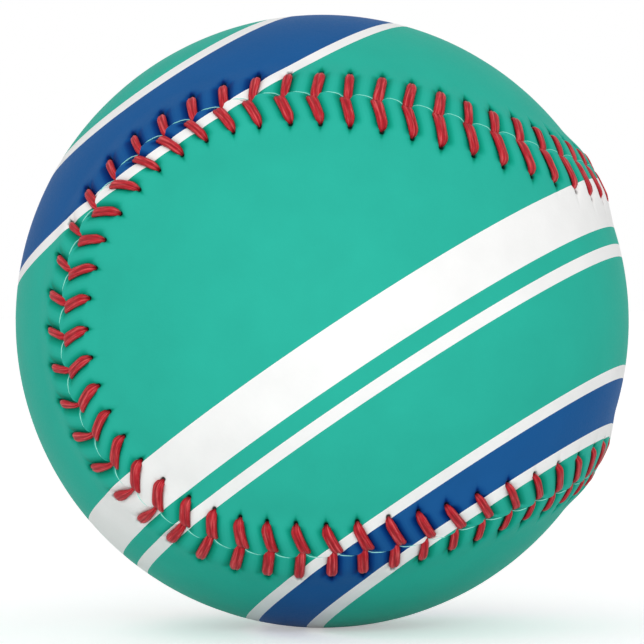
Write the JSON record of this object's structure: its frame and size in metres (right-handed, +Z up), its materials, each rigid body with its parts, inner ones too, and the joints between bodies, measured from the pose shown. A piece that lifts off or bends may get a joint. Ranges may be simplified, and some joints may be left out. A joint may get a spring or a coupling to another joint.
{
  "type": "softball",
  "caption": "Softball with figure-eight leather cover panels laced by raised red stitching over a yarn-wound cork and rubber core.",
  "frame": {"origin": "centre of the ball", "axes": "+X through the waist of the front panel, -Y and +Y through its lobes, +Z up through a lobe of the back panel; +X is the seam's fourfold rotary-reflection axis"},
  "size_m": [0.0968, 0.097, 0.097],
  "materials": {
    "cork_rubber": "granular, matte",
    "yarn": "twisted yarn, matte",
    "latex": "smooth, satin",
    "leather_front": "printed synthetic leather, fine grain, satin",
    "leather_back": "printed synthetic leather, fine grain, satin",
    "waxed_thread": "waxed, soft sheen"
  },
  "bodies": {
    "root": {"core": "cork_rubber", "yarn_winding": "yarn", "latex_coat": "latex", "cover_panel_front": "leather_front", "cover_panel_back": "leather_back", "thread_strand_one": "waxed_thread", "thread_strand_two": "waxed_thread"}
  },
  "joints": []
}
